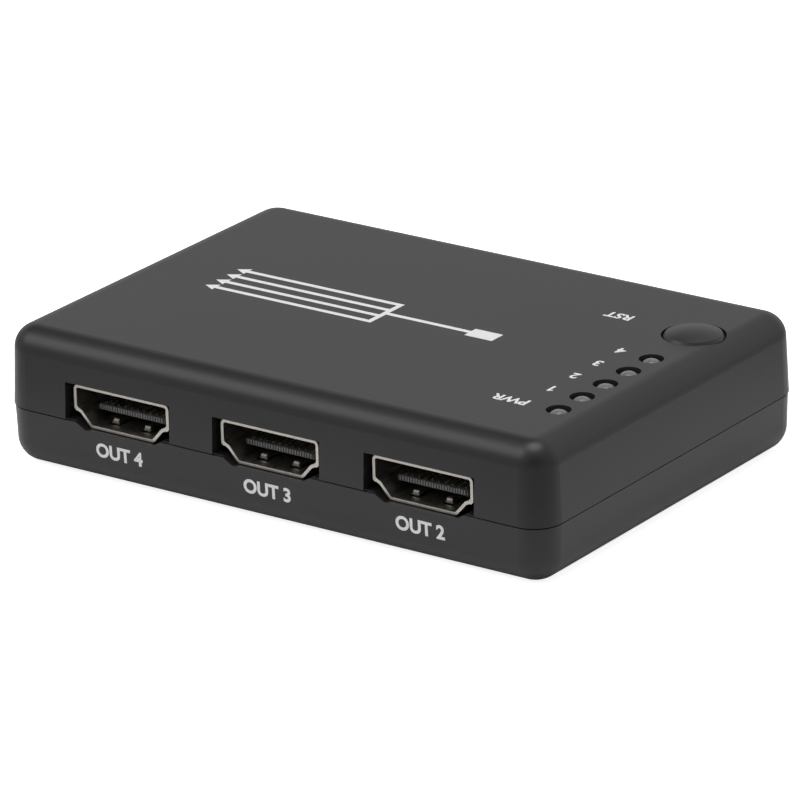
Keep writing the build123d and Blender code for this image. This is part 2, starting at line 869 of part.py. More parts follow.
def ceramic_capacitors():
    """A row of small capacitors along each side of the main chip."""
    unit = block_from_board(capacitor_width, capacitor_length, capacitor_height)
    away = splitter_chip_size / 2 + capacitor_chip_gap
    first = -(capacitors_per_side - 1) * capacitor_pitch / 2
    units = []
    for side in range(4):
        for index in range(capacitors_per_side):
            place = Rot(0, 0, side * quarter_turn) * Pos(first + index * capacitor_pitch, away, 0)
            units.append(on_board(0, 0, place * unit))
    return units


def behind_sockets(unit, spacing, count, room_share):
    """A row of one component behind each socket, part of the way to the main chip."""
    back = socket_end + room_share * room_behind_socket
    first = -(count - 1) * spacing / 2
    row = [Pos(first + index * spacing, back, board_top - port_height) * unit for index in range(count)]
    return [place * item for place in port_places().values() for item in row]


def resistors():
    """Small resistors behind each socket."""
    unit = block_from_board(resistor_width, resistor_length, resistor_height)
    return behind_sockets(unit, resistor_pitch, resistors_per_port, resistor_room_share)


def protection_arrays():
    """Surge protection behind each socket's resistors."""
    unit = block_from_board(array_length, array_width, array_height)
    return behind_sockets(unit, array_spacing, arrays_per_port, array_room_share)


def all_nodes():
    """Every node's name and its solids."""
    nodes = {
        "top_shell": top_shell(),
        "bottom_shell": bottom_shell(),
        "case_screws": case_screws(),
        "circuit_board": circuit_board(),
        "reset_button": reset_button(),
        "switch_body": switch_body(),
        "switch_cover": switch_cover(),
        "switch_plunger": switch_plunger(),
        "switch_dome": switch_dome(),
        "switch_terminals": switch_terminals(),
        "led_leads": led_leads(),
        "dc_jack_housing": dc_jack_housing(),
        "dc_jack_pin": dc_jack_pin(),
        "dc_jack_spring": dc_jack_spring(),
        "splitter_chip": splitter_chip(),
        "control_chip": control_chip(),
        "control_chip_pins": control_chip_pins(),
        "regulators": regulators(),
        "regulator_pins": regulator_pin_set(),
        "crystal": crystal(),
        "electrolytic_capacitors": electrolytic_capacitors(),
        "power_inductor": power_inductor(),
        "ceramic_capacitors": ceramic_capacitors(),
        "resistors": resistors(),
        "protection_arrays": protection_arrays(),
    }
    lens = led_lens()
    for index, (x, y) in enumerate(led_places()):
        name = f"led_{index}" if index else "power_led"
        nodes[name] = Pos(x, y, 0) * lens
    shell = socket_shell()
    contacts = socket_contacts()
    insulator = socket_insulator()
    for name, place in port_places().items():
        nodes[f"{name}_shell"] = place * shell
        nodes[f"{name}_insulator"] = place * insulator
        nodes[f"{name}_contacts"] = [place * contact for contact in contacts]
    return nodes


os.makedirs("parts", exist_ok=True)
for name, form in all_nodes().items():
    if isinstance(form, list):
        form = Compound(children=form)
    export_step(form, f"parts/{name}.step")
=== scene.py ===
"""Video splitter with one input and four outputs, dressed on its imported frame. Metres."""
import math

import bpy
from mathutils import Euler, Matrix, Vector


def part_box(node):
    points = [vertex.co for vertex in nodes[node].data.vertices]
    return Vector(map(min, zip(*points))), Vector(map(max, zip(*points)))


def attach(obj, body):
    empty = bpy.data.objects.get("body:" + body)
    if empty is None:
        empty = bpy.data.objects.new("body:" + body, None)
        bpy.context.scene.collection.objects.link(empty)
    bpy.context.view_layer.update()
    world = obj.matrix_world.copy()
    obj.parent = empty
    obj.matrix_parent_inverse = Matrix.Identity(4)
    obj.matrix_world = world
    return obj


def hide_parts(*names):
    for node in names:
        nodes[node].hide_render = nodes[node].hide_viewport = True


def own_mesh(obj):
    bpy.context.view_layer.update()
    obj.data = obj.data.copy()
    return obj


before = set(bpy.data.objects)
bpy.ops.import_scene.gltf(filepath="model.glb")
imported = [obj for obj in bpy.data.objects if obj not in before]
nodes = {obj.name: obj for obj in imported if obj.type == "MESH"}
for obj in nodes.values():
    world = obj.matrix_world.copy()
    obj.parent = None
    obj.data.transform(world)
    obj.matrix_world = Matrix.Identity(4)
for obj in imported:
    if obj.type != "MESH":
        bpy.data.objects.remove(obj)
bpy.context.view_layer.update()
mm = 0.001


# The camera of the photograph: a long lens, a little above the case, turned towards
# its right front corner and rolled slightly.
camera_azimuth = math.radians(35.63)
camera_elevation = math.radians(20.91)
camera_roll = math.radians(-1.41)
camera_distance = 842.63 * mm
camera_shift_right = -0.33 * mm
camera_shift_up = 6.76 * mm
focal_length_in_widths = 6578 / 800
sensor_width = 36
camera_near = 0.01
camera_far = 20
bpy.ops.object.camera_add()
camera = bpy.context.object
camera.name = "camera"
turn = Euler((math.pi / 2 - camera_elevation, 0, camera_azimuth)).to_matrix()
turn = turn @ Euler((0, 0, camera_roll)).to_matrix()
camera.matrix_world = turn.to_4x4()
camera.location = turn @ Vector((camera_shift_right, camera_shift_up, camera_distance))
camera.data.sensor_width = sensor_width
camera.data.lens = focal_length_in_widths * camera.data.sensor_width
camera.data.clip_start = camera_near
camera.data.clip_end = camera_far
bpy.context.scene.camera = camera
bpy.context.scene.view_settings.view_transform = "Standard"


# The studio: a white table that also fills the background. Soft light comes from above
# and from a large soft box high at the left, with a darker ceiling between them, and the
# camera's side is dark. In the case's gloss the table's colour is a painted pool of light
# that fades.
floor_size = 8
floor_gap = 0.02 * mm
floor_white = 0.8
floor_seen = 0.85
pool_middle = (-12 * mm, 16 * mm, 0)
pool_start = 60 * mm
pool_end = 110 * mm
pool_light = 1.08
pool_fade = 0.45
bpy.ops.mesh.primitive_plane_add(size=floor_size, location=(0, 0, -floor_gap))
floor = bpy.context.object
floor.name = "table"
floor_paper = bpy.data.materials.new("white table")
floor_paper.use_nodes = True
floor_nodes = floor_paper.node_tree.nodes
floor_links = floor_paper.node_tree.links
floor_nodes.clear()
floor_output = floor_nodes.new("ShaderNodeOutputMaterial")
floor_matte = floor_nodes.new("ShaderNodeBsdfDiffuse")
floor_glow = floor_nodes.new("ShaderNodeEmission")
floor_add = floor_nodes.new("ShaderNodeAddShader")
# In the case's gloss the table's colour is this painted pool of light, brighter near the case
# and fading further off.
floor_shade = floor_nodes.new("ShaderNodeMix")
floor_shade.inputs["A"].default_value = floor_white
floor_path = floor_nodes.new("ShaderNodeLightPath")
floor_place = floor_nodes.new("ShaderNodeTexCoord")
floor_reach = floor_nodes.new("ShaderNodeVectorMath")
floor_reach.operation = "DISTANCE"
floor_reach.inputs[1].default_value = pool_middle
floor_fade = floor_nodes.new("ShaderNodeMapRange")
floor_fade.interpolation_type = "SMOOTHSTEP"
floor_fade.inputs["From Min"].default_value = pool_start
floor_fade.inputs["From Max"].default_value = pool_end
floor_fade.inputs["To Min"].default_value = pool_light
floor_fade.inputs["To Max"].default_value = pool_fade
floor_level = floor_nodes.new("ShaderNodeMath")
floor_level.operation = "MULTIPLY"
floor_level.inputs[1].default_value = floor_seen
floor_links.new(floor_path.outputs["Is Camera Ray"], floor_level.inputs[0])
floor_links.new(floor_level.outputs[0], floor_glow.inputs["Strength"])
floor_links.new(floor_matte.outputs[0], floor_add.inputs[0])
floor_links.new(floor_glow.outputs[0], floor_add.inputs[1])
floor_links.new(floor_place.outputs["Object"], floor_reach.inputs[0])
floor_links.new(floor_reach.outputs["Value"], floor_fade.inputs["Value"])
floor_links.new(floor_path.outputs["Is Glossy Ray"], floor_shade.inputs["Factor"])
floor_links.new(floor_fade.outputs["Result"], floor_shade.inputs["B"])
floor_links.new(floor_shade.outputs["Result"], floor_matte.inputs["Color"])
floor_links.new(floor_add.outputs[0], floor_output.inputs["Surface"])
floor.data.materials.append(floor_paper)

room_light = 0.54
background_white = (1, 1, 1, 1)
# Each soft light: the way to it, how near to that way it starts and is full, where 1 is
# straight at it, and its strength.
soft_lights = (
    ((0, 0, 1), 0.9, 0.97, 3.5),  # above the table
    ((-0.54, -0.52, 0.66), 0.91, 0.98, 2.3),  # the soft box at the left
    ((-0.54, 0.3, 0.78), 0.92, 0.98, -0.5),  # the darker ceiling
    ((-0.54, 0.76, 0.15), 0.75, 0.97, 0.18),  # the far wall at the left
    ((0.45, 0.76, 0.4), 0.7, 0.95, 0.3),  # the far wall at the right
    ((0.54, -0.76, 0.1), 0.7, 0.97, -0.4),  # the dark side of the camera
)
world = bpy.data.worlds.new("studio")
bpy.context.scene.world = world
world.use_nodes = True
world_nodes = world.node_tree.nodes
world_links = world.node_tree.links
world_nodes.clear()
world_output = world_nodes.new("ShaderNodeOutputWorld")
world_room = world_nodes.new("ShaderNodeBackground")
world_white = world_nodes.new("ShaderNodeBackground")
world_white.inputs["Color"].default_value = background_white
world_mix = world_nodes.new("ShaderNodeMixShader")
world_path = world_nodes.new("ShaderNodeLightPath")
world_place = world_nodes.new("ShaderNodeTexCoord")
world_level = world_nodes.new("ShaderNodeValue")
world_level.outputs[0].default_value = room_light
world_sum = world_level.outputs[0]
for towards, start, full, strength in soft_lights:
    world_near = world_nodes.new("ShaderNodeVectorMath")
    world_near.operation = "DOT_PRODUCT"
    world_near.inputs[1].default_value = Vector(towards).normalized()
    world_lobe = world_nodes.new("ShaderNodeMapRange")
    world_lobe.interpolation_type = "SMOOTHSTEP"
    world_lobe.inputs["From Min"].default_value = start
    world_lobe.inputs["From Max"].default_value = full
    world_lobe.inputs["To Max"].default_value = strength
    world_add = world_nodes.new("ShaderNodeMath")
    world_links.new(world_place.outputs["Generated"], world_near.inputs[0])
    world_links.new(world_near.outputs["Value"], world_lobe.inputs["Value"])
    world_links.new(world_lobe.outputs["Result"], world_add.inputs[0])
    world_links.new(world_sum, world_add.inputs[1])
    world_sum = world_add.outputs[0]
world_links.new(world_sum, world_room.inputs["Strength"])
world_links.new(world_path.outputs["Is Camera Ray"], world_mix.inputs["Fac"])
world_links.new(world_room.outputs[0], world_mix.inputs[1])
world_links.new(world_white.outputs[0], world_mix.inputs[2])
world_links.new(world_mix.outputs[0], world_output.inputs["Surface"])


# The case: two halves moulded in dark grey plastic, whose mould was etched to a very
# fine grain, so the surface is matt with a faint speckle. The lower half is the tray.
plastic_ior = 1.5
speck_detail = 3
speck_share = 0.35
cloud_scale = 60
cloud_detail = 2
shade_start = 0.35
shade_full = 0.95
shade_change = 0.1
gloss_start = 0.3
gloss_full = 0.7
gloss_change = 0.04
grain_strength = 0.25


def moulded_plastic(name, colour, roughness, grain, depth):
    """A matt moulded plastic with an etched grain and faint cloudy shading."""
    plastic = bpy.data.materials.new(name)
    plastic.use_nodes = True
    tree = plastic.node_tree
    shader = tree.nodes["Principled BSDF"]
    shader.inputs["IOR"].default_value = plastic_ior
    place = tree.nodes.new("ShaderNodeTexCoord")
    speck = tree.nodes.new("ShaderNodeTexNoise")
    speck.inputs["Scale"].default_value = grain
    speck.inputs["Detail"].default_value = speck_detail
    cloud = tree.nodes.new("ShaderNodeTexNoise")
    cloud.inputs["Scale"].default_value = cloud_scale
    cloud.inputs["Detail"].default_value = cloud_detail
    both = tree.nodes.new("ShaderNodeMath")
    both.operation = "MULTIPLY_ADD"
    both.inputs[1].default_value = speck_share
    shade = tree.nodes.new("ShaderNodeValToRGB")
    shade.color_ramp.elements[0].position = shade_start
    shade.color_ramp.elements[0].color = [part * (1 - shade_change) for part in colour] + [1]
    shade.color_ramp.elements[1].position = shade_full
    shade.color_ramp.elements[1].color = [part * (1 + shade_change) for part in colour] + [1]
    gloss = tree.nodes.new("ShaderNodeMapRange")
    gloss.inputs["From Min"].default_value = gloss_start
    gloss.inputs["From Max"].default_value = gloss_full
    gloss.inputs["To Min"].default_value = roughness - gloss_change
    gloss.inputs["To Max"].default_value = roughness + gloss_change
    bump = tree.nodes.new("ShaderNodeBump")
    bump.inputs["Strength"].default_value = grain_strength
    bump.inputs["Distance"].default_value = depth
    for target in (speck, cloud):
        tree.links.new(place.outputs["Object"], target.inputs["Vector"])
    tree.links.new(speck.outputs["Fac"], both.inputs[0])
    tree.links.new(cloud.outputs["Fac"], both.inputs[2])
    tree.links.new(both.outputs[0], shade.inputs["Fac"])
    tree.links.new(shade.outputs["Color"], shader.inputs["Base Color"])
    tree.links.new(speck.outputs["Fac"], gloss.inputs["Value"])
    tree.links.new(gloss.outputs["Result"], shader.inputs["Roughness"])
    tree.links.new(speck.outputs["Fac"], bump.inputs["Height"])
    tree.links.new(bump.outputs["Normal"], shader.inputs["Normal"])
    return plastic


def finish_nodes(material, *names):
    """Gives one material to every slot of the named pieces."""
    for name in names:
        piece = nodes[name]
        if not piece.material_slots:
            piece.data.materials.append(material)
        for place in piece.material_slots:
            place.material = material


case_plastic = moulded_plastic(
    "case plastic", colour=(0.0175, 0.0162, 0.0182), roughness=0.36, grain=9000, depth=0.02 * mm
)
finish_nodes(case_plastic, "bottom_shell", "top_shell")


# The case screws: four blackened steel screws with a cross recess, driven up from
# beneath into the lid's bosses.
streak_detail = 4
streak_start = 0.3
streak_full = 0.7
streak_shade = 0.85
streak_gloss_change = 0.06
streak_strength = 0.15
streak_depth = 0.01 * mm


def plain_metal(name, colour, roughness, grain, stretch=(1, 1, 1)):
    """A metal with a drawn or plated grain: fine changes in shade, gloss and height."""
    metal = bpy.data.materials.new(name)
    metal.use_nodes = True
    tree = metal.node_tree
    shader = tree.nodes["Principled BSDF"]
    shader.inputs["Metallic"].default_value = 1
    place = tree.nodes.new("ShaderNodeTexCoord")
    along = tree.nodes.new("ShaderNodeMapping")
    along.inputs["Scale"].default_value = stretch
    streak = tree.nodes.new("ShaderNodeTexNoise")
    streak.inputs["Scale"].default_value = grain
    streak.inputs["Detail"].default_value = streak_detail
    shade = tree.nodes.new("ShaderNodeValToRGB")
    shade.color_ramp.elements[0].position = streak_start
    shade.color_ramp.elements[0].color = [part * streak_shade for part in colour] + [1]
    shade.color_ramp.elements[1].position = streak_full
    shade.color_ramp.elements[1].color = list(colour) + [1]
    gloss = tree.nodes.new("ShaderNodeMapRange")
    gloss.inputs["To Min"].default_value = roughness - streak_gloss_change
    gloss.inputs["To Max"].default_value = roughness + streak_gloss_change
    bump = tree.nodes.new("ShaderNodeBump")
    bump.inputs["Strength"].default_value = streak_strength
    bump.inputs["Distance"].default_value = streak_depth
    tree.links.new(place.outputs["Object"], along.inputs["Vector"])
    tree.links.new(along.outputs["Vector"], streak.inputs["Vector"])
    tree.links.new(streak.outputs["Fac"], shade.inputs["Fac"])
    tree.links.new(shade.outputs["Color"], shader.inputs["Base Color"])
    tree.links.new(streak.outputs["Fac"], gloss.inputs["Value"])
    tree.links.new(gloss.outputs["Result"], shader.inputs["Roughness"])
    tree.links.new(streak.outputs["Fac"], bump.inputs["Height"])
    tree.links.new(bump.outputs["Normal"], shader.inputs["Normal"])
    return metal


black_steel = plain_metal(
    "blackened steel", colour=(0.05, 0.05, 0.055), roughness=0.4, grain=2500
)
finish_nodes(black_steel, "case_screws")


# The circuit board: glass cloth and resin under green lacquer, which lies a little
# higher and lighter where copper runs beneath it.
lacquer_coat = 0.4
lacquer_coat_roughness = 0.15
lacquer_roughness = 0.35
runs_scale = 500
runs_gap = 0.012
runs_green = (0.008, 0.09, 0.035, 1)
runs_light_green = (0.012, 0.13, 0.05, 1)
gap_green = (0.004, 0.055, 0.022, 1)
runs_strength = 0.3
runs_height = 0.03 * mm
board_lacquer = bpy.data.materials.new("green lacquered board")
board_lacquer.use_nodes = True
board_tree = board_lacquer.node_tree
board_shader = board_tree.nodes["Principled BSDF"]
board_shader.inputs["Coat Weight"].default_value = lacquer_coat
board_shader.inputs["Coat Roughness"].default_value = lacquer_coat_roughness
board_shader.inputs["Roughness"].default_value = lacquer_roughness
board_place = board_tree.nodes.new("ShaderNodeTexCoord")
copper_runs = board_tree.nodes.new("ShaderNodeTexBrick")
copper_runs.inputs["Scale"].default_value = runs_scale
copper_runs.inputs["Mortar Size"].default_value = runs_gap
copper_runs.inputs["Color1"].default_value = runs_green
copper_runs.inputs["Color2"].default_value = runs_light_green
copper_runs.inputs["Mortar"].default_value = gap_green
copper_rise = board_tree.nodes.new("ShaderNodeBump")
copper_rise.inputs["Strength"].default_value = runs_strength
copper_rise.inputs["Distance"].default_value = runs_height
board_tree.links.new(board_place.outputs["Object"], copper_runs.inputs["Vector"])
board_tree.links.new(copper_runs.outputs["Color"], board_shader.inputs["Base Color"])
board_tree.links.new(copper_runs.outputs["Fac"], copper_rise.inputs["Height"])
board_tree.links.new(copper_rise.outputs["Normal"], board_shader.inputs["Normal"])
finish_nodes(board_lacquer, "circuit_board")


# The board's components: moulded black chips, tinned pins, aluminium capacitor cans,
# a bright crystal can, tan ceramic capacitors and a ferrite coil.
fine_grain_depth = 0.01 * mm
drawn_upwards = (1, 1, 0.05)
chip_plastic = moulded_plastic(
    "black chip moulding",
    colour=(0.022, 0.022, 0.024),
    roughness=0.45,
    grain=6000,
    depth=fine_grain_depth,
)
tinned_metal = plain_metal("tinned metal", colour=(0.72, 0.72, 0.73), roughness=0.28, grain=3000)
can_metal = plain_metal(
    "aluminium can", colour=(0.78, 0.79, 0.8), roughness=0.3, grain=1500, stretch=drawn_upwards
)
crystal_metal = plain_metal(
    "bright can steel", colour=(0.7, 0.7, 0.69), roughness=0.22, grain=1500
)
ceramic = moulded_plastic(
    "tan ceramic", colour=(0.36, 0.25, 0.15), roughness=0.5, grain=5000, depth=fine_grain_depth
)
ferrite = moulded_plastic(
    "ferrite", colour=(0.06, 0.06, 0.065), roughness=0.6, grain=3000, depth=0.03 * mm
)
finish_nodes(chip_plastic, "splitter_chip", "control_chip", "regulators", "resistors")
finish_nodes(chip_plastic, "protection_arrays")
finish_nodes(tinned_metal, "control_chip_pins", "regulator_pins", "led_leads")
finish_nodes(tinned_metal, "switch_terminals")
finish_nodes(can_metal, "electrolytic_capacitors")
finish_nodes(crystal_metal, "crystal", "switch_cover")
finish_nodes(ceramic, "ceramic_capacitors")
finish_nodes(ferrite, "power_inductor")


# The video sockets: a folded nickel-plated shell round a black moulded tongue with gold
# contacts above and below it. The tongue's nose is a comb that parts the contacts, and
# each of the shell's four springs ends in a polished crown, which presses on the plug.
# The tongue's black is lightened with painted light, the comb is light grey with painted
# light on its ridges, and the crowns are darkened with painted shade.
socket_names = ("output_1", "output_2", "output_3", "output_4", "input")
rolled_inwards = (1, 0.15, 1)
socket_metal = plain_metal(
    "nickel plated sheet",
    colour=(0.6, 0.57, 0.52),
    roughness=0.34,
    grain=1800,
    stretch=rolled_inwards,
)
# The tongue's black moulding, lightened with painted light for the light that reaches into the
# sockets.
socket_moulding_painted_light = moulded_plastic(
    "socket moulding with painted light",
    colour=(0.045, 0.045, 0.047),
    roughness=0.4,
    grain=5000,
    depth=fine_grain_depth,
)
gold_plate = plain_metal(
    "gold plated contacts", colour=(0.78, 0.6, 0.32), roughness=0.25, grain=4000
)
# The comb is the tongue's own black plastic, made light grey with painted light on its ridges.
comb_moulding_painted_light = moulded_plastic(
    "comb moulding with painted light",
    colour=(0.17, 0.17, 0.173),
    roughness=0.35,
    grain=5000,
    depth=fine_grain_depth,
)
rib_count = 25
rib_pitch = 0.4 * mm
rib_width = 0.22 * mm
rib_height = 0.62 * mm
rib_depth = 0.3 * mm
rib_proud = 0.12 * mm
comb_below_shell_top = 3.25 * mm
# The crowns' metal is darker than the shell's: painted shade, for the shade deep inside the
# socket.
crown_metal_painted_shade = plain_metal(
    "polished spring with painted shade", colour=(0.3, 0.27, 0.25), roughness=0.42, grain=2500
)
crown_spacing = 5.0 * mm
crown_depth = 2.5 * mm
crown_level = 2.1 * mm
crown_radius = 0.46 * mm
crown_width = 0.95 * mm
crown_sides = 32
crown_edge = 0.1 * mm
crown_edge_steps = 3
socket_half_height = 2.76 * mm
smooth_angle = math.radians(35)
for socket in socket_names:
    finish_nodes(socket_metal, f"{socket}_shell")
    finish_nodes(socket_moulding_painted_light, f"{socket}_insulator")
    finish_nodes(gold_plate, f"{socket}_contacts")
    low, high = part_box(f"{socket}_insulator")
    shell_low, shell_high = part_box(f"{socket}_shell")
    opens_backwards = low[1] > 0
    if opens_backwards:
        nose_y = high[1] + rib_proud - rib_depth / 2
        crown_y = shell_high[1] - crown_depth
    else:
        nose_y = low[1] - rib_proud + rib_depth / 2
        crown_y = shell_low[1] + crown_depth
    socket_x = (low[0] + high[0]) / 2
    socket_z = shell_high[2] - socket_half_height
    first_x = socket_x - (rib_count - 1) / 2 * rib_pitch
    comb_z = shell_high[2] - comb_below_shell_top
    bpy.ops.object.select_all(action="DESELECT")
    bpy.ops.mesh.primitive_cube_add(size=1)
    comb = bpy.context.object
    comb.name = f"{socket}_comb"
    comb.scale = (rib_width, rib_depth, rib_height)
    comb.location = (first_x, nose_y, comb_z)
    bpy.ops.object.transform_apply(location=True, rotation=True, scale=True)
    bpy.ops.object.modifier_add(type="ARRAY")
    comb.modifiers[-1].count = rib_count
    comb.modifiers[-1].use_relative_offset = False
    comb.modifiers[-1].use_constant_offset = True
    comb.modifiers[-1].constant_offset_displace = (rib_pitch, 0, 0)
    bpy.ops.object.modifier_apply(modifier=comb.modifiers[-1].name)
    comb.data.materials.append(comb_moulding_painted_light)
    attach(comb, "case")
    crowns = []
    for side_x in (-crown_spacing / 2, crown_spacing / 2):
        for level in (-crown_level, crown_level):
            bpy.ops.object.select_all(action="DESELECT")
            bpy.ops.mesh.primitive_cylinder_add(
                vertices=crown_sides,
                radius=crown_radius,
                depth=crown_width,
                location=(socket_x + side_x, crown_y, socket_z + level),
                rotation=(0, math.pi / 2, 0),
            )
            crowns.append(bpy.context.object)
    for crown in crowns:
        crown.select_set(True)
    bpy.ops.object.join()
    crown = bpy.context.object
    crown.name = f"{socket}_spring_crowns"
    bpy.ops.object.transform_apply(location=True, rotation=True, scale=True)
    bpy.ops.object.modifier_add(type="BEVEL")
    crown.modifiers[-1].width = crown_edge
    crown.modifiers[-1].segments = crown_edge_steps
    bpy.ops.object.modifier_apply(modifier=crown.modifiers[-1].name)
    bpy.ops.object.shade_smooth_by_angle(angle=smooth_angle)
    crown.data.materials.append(crown_metal_painted_shade)
    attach(crown, "case")


# The power inlet: a black moulded body with a tinned centre pin and a bright bowed
# spring that presses on the plug's sleeve.
spring_steel = plain_metal("spring steel", colour=(0.6, 0.6, 0.58), roughness=0.25, grain=2500)
black_moulding = moulded_plastic(
    "black moulding",
    colour=(0.02, 0.02, 0.021),
    roughness=0.42,
    grain=5000,
    depth=fine_grain_depth,
)
finish_nodes(black_moulding, "dc_jack_housing")
finish_nodes(tinned_metal, "dc_jack_pin")
finish_nodes(spring_steel, "dc_jack_spring")


# The switch under the cap: a black base and plunger under a bright cover plate. The
# snap dome under the plunger is a bowed disc of spring steel with two sides cut off,
# which flattens as the cap is pressed.
finish_nodes(black_moulding, "switch_body", "switch_plunger")
dome_sheet = 0.1 * mm
dome_steps = 96
thickened_inwards = -1
low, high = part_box("switch_dome")
dome_rise = high[2] - low[2]
dome_reach = (high[1] - low[1]) / 2
dome_radius = (dome_reach**2 + dome_rise**2) / (2 * dome_rise)
dome_x = (low[0] + high[0]) / 2
dome_y = (low[1] + high[1]) / 2
bpy.ops.object.select_all(action="DESELECT")
bpy.ops.mesh.primitive_uv_sphere_add(
    segments=dome_steps,
    ring_count=dome_steps,
    radius=dome_radius,
    location=(dome_x, dome_y, high[2] - dome_radius),
)
dome = bpy.context.object
dome.name = "snap_dome"
bpy.ops.object.transform_apply(location=True)
bpy.ops.object.mode_set(mode="EDIT")
for cut, outward in (
    ((dome_x, dome_y, low[2] + dome_sheet), (0, 0, -1)),
    ((high[0], dome_y, low[2]), (1, 0, 0)),
    ((low[0], dome_y, low[2]), (-1, 0, 0)),
):
    bpy.ops.mesh.select_all(action="SELECT")
    bpy.ops.mesh.bisect(plane_co=cut, plane_no=outward, clear_outer=True)
bpy.ops.object.mode_set(mode="OBJECT")
bpy.ops.object.modifier_add(type="SOLIDIFY")
dome.modifiers[-1].thickness = dome_sheet
dome.modifiers[-1].offset = thickened_inwards
bpy.ops.object.modifier_apply(modifier=dome.modifiers[-1].name)
bpy.ops.object.shade_smooth_by_angle(angle=smooth_angle)
dome.data.materials.append(spring_steel)
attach(dome, "case")
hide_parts("switch_dome")
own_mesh(dome)


# The lights: five 3 mm lenses of milky, faintly green diffusing plastic, unlit, each
# just below the rim of its hole in the lid. Only the domed tops show.
led_names = ("power_led", "led_1", "led_2", "led_3", "led_4")
lens_crown = 1.2 * mm
lens_rise = 0.1 * mm
lens_segments = 48
lens_rings = 24
shoulder_reach = 0.01 * mm
lens_milk = 0.3
lens_milk_reach = (1 * mm, 1.2 * mm, 1 * mm)
lens_roughness = 0.22
lens_cloud_scale = 900
lens_dark = (0.153, 0.166, 0.166, 1)
lens_light = (0.222, 0.238, 0.237, 1)
lens_plastic = bpy.data.materials.new("diffusing lens")
lens_plastic.use_nodes = True
lens_tree = lens_plastic.node_tree
lens_shader = lens_tree.nodes["Principled BSDF"]
lens_shader.inputs["Subsurface Weight"].default_value = lens_milk
lens_shader.inputs["Subsurface Radius"].default_value = lens_milk_reach
lens_shader.inputs["Roughness"].default_value = lens_roughness
lens_place = lens_tree.nodes.new("ShaderNodeTexCoord")
lens_cloud = lens_tree.nodes.new("ShaderNodeTexNoise")
lens_cloud.inputs["Scale"].default_value = lens_cloud_scale
lens_shade = lens_tree.nodes.new("ShaderNodeValToRGB")
lens_shade.color_ramp.elements[0].color = lens_dark
lens_shade.color_ramp.elements[1].color = lens_light
lens_tree.links.new(lens_place.outputs["Object"], lens_cloud.inputs["Vector"])
lens_tree.links.new(lens_cloud.outputs["Fac"], lens_shade.inputs["Fac"])
lens_tree.links.new(lens_shade.outputs["Color"], lens_shader.inputs["Base Color"])
for led in led_names:
    low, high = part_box(led)
    lens_radius = (high[0] - low[0]) / 2
    middle = ((low[0] + high[0]) / 2, (low[1] + high[1]) / 2)
    shoulder = high[2] + lens_rise - lens_crown
    bpy.ops.object.select_all(action="DESELECT")
    bpy.ops.mesh.primitive_uv_sphere_add(
        segments=lens_segments,
        ring_count=lens_rings,
        radius=lens_radius,
        location=(middle[0], middle[1], shoulder),
    )
    lens = bpy.context.object
    lens.name = f"{led}_lens"
    lens.scale.z = lens_crown / lens_radius
    bpy.ops.object.transform_apply(location=True, scale=True)
    bpy.ops.object.mode_set(mode="EDIT")
    bpy.ops.mesh.select_all(action="SELECT")
    bpy.ops.mesh.bisect(
        plane_co=(middle[0], middle[1], shoulder), plane_no=(0, 0, 1), clear_inner=True
    )
    bpy.ops.object.mode_set(mode="OBJECT")
    for edge in lens.data.edges:
        heights = [lens.data.vertices[end].co.z for end in edge.vertices]
        edge.select = all(abs(height - shoulder) < shoulder_reach for height in heights)
    bpy.ops.object.mode_set(mode="EDIT")
    bpy.ops.mesh.select_mode(type="EDGE")
    bpy.ops.mesh.extrude_region_move(TRANSFORM_OT_translate={"value": (0, 0, low[2] - shoulder)})
    bpy.ops.mesh.edge_face_add()
    bpy.ops.mesh.select_all(action="SELECT")
    bpy.ops.mesh.normals_make_consistent(inside=False)
    bpy.ops.object.mode_set(mode="OBJECT")
    bpy.ops.object.shade_smooth_by_angle(angle=smooth_angle)
    lens.data.materials.append(lens_plastic)
    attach(lens, "case")
    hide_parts(led)


# The printing: thin white ink, pad-printed on the moulded plastic. On the lid it
# reads from the back, where the input is, and under the front sockets from the front.
ink_roughness = 0.45
ink_grain_scale = 5000
ink_shade_start = 0.25
ink_shade_full = 0.6
ink_thin = (0.8, 0.8, 0.8, 1)
ink_full = (0.92, 0.92, 0.92, 1)
ink_thickness = 0.015 * mm
ink = bpy.data.materials.new("white ink")
ink.use_nodes = True
ink_tree = ink.node_tree
ink_shader = ink_tree.nodes["Principled BSDF"]
ink_shader.inputs["Roughness"].default_value = ink_roughness
ink_place = ink_tree.nodes.new("ShaderNodeTexCoord")
ink_grain = ink_tree.nodes.new("ShaderNodeTexNoise")
ink_grain.inputs["Scale"].default_value = ink_grain_scale
ink_shade = ink_tree.nodes.new("ShaderNodeValToRGB")
ink_shade.color_ramp.elements[0].position = ink_shade_start
ink_shade.color_ramp.elements[0].color = ink_thin
ink_shade.color_ramp.elements[1].position = ink_shade_full
ink_shade.color_ramp.elements[1].color = ink_full
ink_tree.links.new(ink_place.outputs["Object"], ink_grain.inputs["Vector"])
ink_tree.links.new(ink_grain.outputs["Fac"], ink_shade.inputs["Fac"])
ink_tree.links.new(ink_shade.outputs["Color"], ink_shader.inputs["Base Color"])
lid_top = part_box("top_shell")[1][2]
letter_cap_share = 0.73
letter_curve_steps = 4
# The flag of a numeral 1, in shares of the letters' height, and of the ink's thickness.
flag_back = 0.26
flag_down = 0.17
flag_length = 0.32
flag_width = 0.15
flag_thickness = 0.8
flag_slope = math.radians(35)


